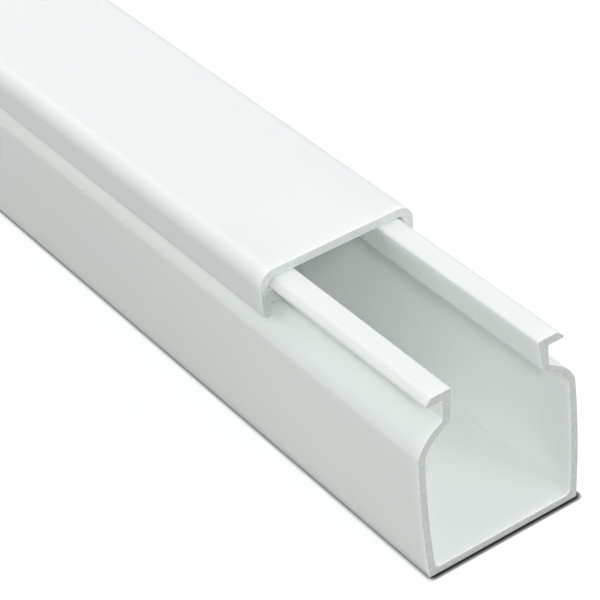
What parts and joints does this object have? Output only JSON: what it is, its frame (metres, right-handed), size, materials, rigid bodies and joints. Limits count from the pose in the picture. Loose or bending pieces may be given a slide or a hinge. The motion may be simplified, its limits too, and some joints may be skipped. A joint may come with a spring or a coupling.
{
  "type": "mini cable trunking",
  "caption": "White PVC mini cable trunking: a channel with necked-in lips that carries cables along a wall, and a cover that clips over the lips and slides along them.",
  "frame": {"origin": "the middle of the base's flat back, halfway along the base", "axes": "+X along the length towards the end that the cover is drawn back from, +Z away from the wall, +Y across the channel"},
  "size_m": [1.034, 0.026, 0.0303],
  "materials": {
    "base": "satin white extruded PVC",
    "cover": "satin white extruded PVC"
  },
  "bodies": {
    "base": {"base": "base"},
    "cover": {"cover": "cover"}
  },
  "joints": [
    {"name": "cover_slide", "type": "slide", "parent": "base", "child": "cover", "axis": [1, 0, 0], "range_m": [-0.97, 0.034]}
  ]
}
